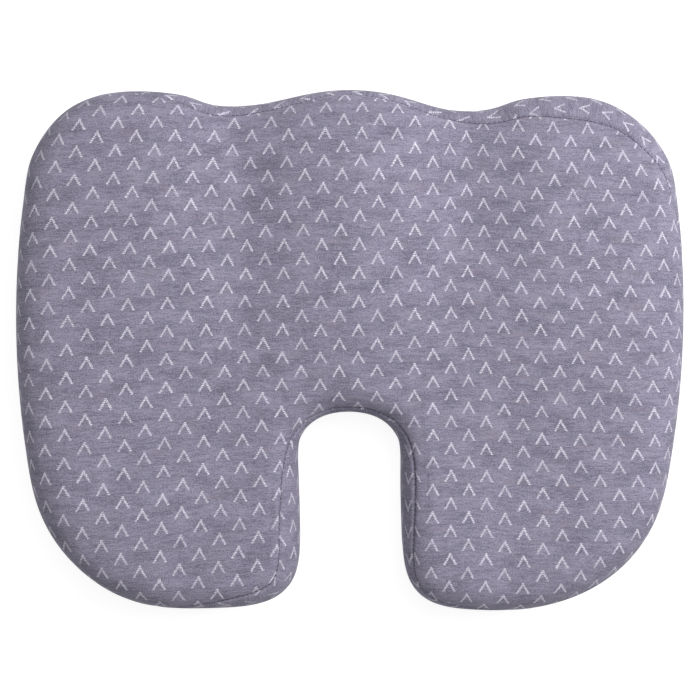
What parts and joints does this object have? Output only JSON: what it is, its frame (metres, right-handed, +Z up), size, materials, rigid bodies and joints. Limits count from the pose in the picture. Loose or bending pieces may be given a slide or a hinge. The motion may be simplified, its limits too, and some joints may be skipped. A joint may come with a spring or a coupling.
{
  "type": "seat cushion",
  "caption": "Contoured foam seat cushion with a U-shaped tailbone cut-out, thigh channels at the front and a removable heathered fabric cover with a side zipper.",
  "frame": {"origin": "middle of the resting face, below the middle of the cushion's box", "axes": "+Z up, +Y towards the front edge under the thighs, +X to the sitter's right when seated facing +Y"},
  "size_m": [0.45, 0.351, 0.07],
  "materials": {
    "heather_fabric": "heathered grey-lilac knit with sewn white chevrons",
    "anti_slip_fabric": "dark knit with moulded anti-slip dots",
    "liner_jersey": "thin white stretch jersey",
    "memory_foam": "open-cell polyurethane foam",
    "sewing_thread": "polyester sewing thread",
    "zipper_tape": "woven polyester tape",
    "zipper_nylon": "satin nylon coil",
    "zipper_metal": "satin die-cast metal",
    "label_satin": "blank white satin ribbon"
  },
  "bodies": {
    "cushion": {"foam_core": "memory_foam", "liner_top": "liner_jersey", "liner_bottom": "liner_jersey", "cover_top_panel": "heather_fabric", "side_band": "heather_fabric", "zip_strip_upper": "heather_fabric", "zip_strip_lower": "heather_fabric", "cover_bottom_panel": "anti_slip_fabric", "top_seam_thread": "sewing_thread", "bottom_seam_thread": "sewing_thread", "zipper_tape_upper": "zipper_tape", "zipper_tape_lower": "zipper_tape", "zipper_coil_upper": "zipper_nylon", "zipper_coil_lower": "zipper_nylon", "zipper_top_stop_upper": "zipper_metal", "zipper_top_stop_lower": "zipper_metal", "zipper_bottom_stop": "zipper_metal", "zipper_end_tab_front": "heather_fabric", "zipper_end_tab_rear": "heather_fabric", "care_label": "label_satin"},
    "slider": {"zipper_slider": "zipper_metal"},
    "pull": {"zipper_pull": "zipper_metal"}
  },
  "joints": [
    {"name": "slider_travel", "type": "hinge", "parent": "cushion", "child": "slider", "pos_m": [0.395, 0.025, 0.018], "axis": [0, 0, -1], "range_deg": [0, 16]},
    {"name": "pull_swing", "type": "hinge", "parent": "slider", "child": "pull", "pos_m": [-0.21789, -0.07222, 0.018], "axis": [0, 0, 1], "range_deg": [0, 180]}
  ]
}
